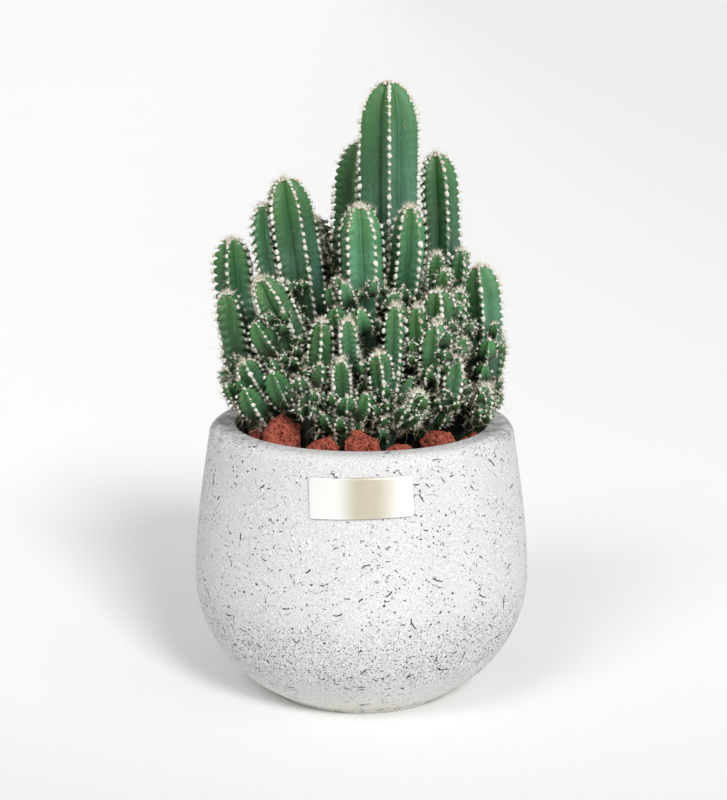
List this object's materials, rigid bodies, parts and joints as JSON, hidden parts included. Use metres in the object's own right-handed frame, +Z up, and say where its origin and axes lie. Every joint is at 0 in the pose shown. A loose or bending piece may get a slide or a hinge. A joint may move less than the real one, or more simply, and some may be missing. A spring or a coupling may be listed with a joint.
{
  "type": "potted cereus cactus",
  "caption": "Clump of ribbed columnar cactus stems crowded with small shoots, in a round speckled cement pot with soil, red lava stones and a bare metal plate.",
  "frame": {"origin": "centre of the pot's flat base, on the surface that it stands on", "axes": "+Z up along the pot's axis, -Y towards the plate on the pot's front, +X to the viewer's right"},
  "size_m": [0.17, 0.17, 0.3092],
  "materials": {
    "cement": "matte",
    "plate_metal": "satin",
    "soil": "matte",
    "lava": "matte",
    "cactus_skin": "satin"
  },
  "bodies": {
    "root": {"pot": "cement", "plate": "plate_metal", "soil": "soil", "lava_stone_1": "lava", "lava_stone_2": "lava", "lava_stone_3": "lava", "lava_stone_4": "lava", "lava_stone_5": "lava", "lava_stone_6": "lava", "lava_stone_7": "lava", "lava_stone_8": "lava", "lava_stone_9": "lava", "lava_stone_10": "lava", "lava_stone_11": "lava", "lava_stone_12": "lava", "lava_stone_13": "lava", "lava_stone_14": "lava", "tall_centre_stem": "cactus_skin", "centre_front_stem": "cactus_skin", "left_tall_stem": "cactus_skin", "back_left_stem": "cactus_skin", "back_right_stem": "cactus_skin", "inner_left_stem": "cactus_skin", "middle_left_stem": "cactus_skin", "inner_right_stem": "cactus_skin", "left_front_stem": "cactus_skin", "right_front_stem": "cactus_skin", "far_left_stem": "cactus_skin", "far_left_front_stem": "cactus_skin", "far_right_stem": "cactus_skin", "low_left_stem": "cactus_skin", "low_front_stem": "cactus_skin", "low_centre_stem": "cactus_skin", "rear_stem": "cactus_skin", "rear_left_stem": "cactus_skin", "rear_right_stem": "cactus_skin"}
  },
  "joints": []
}
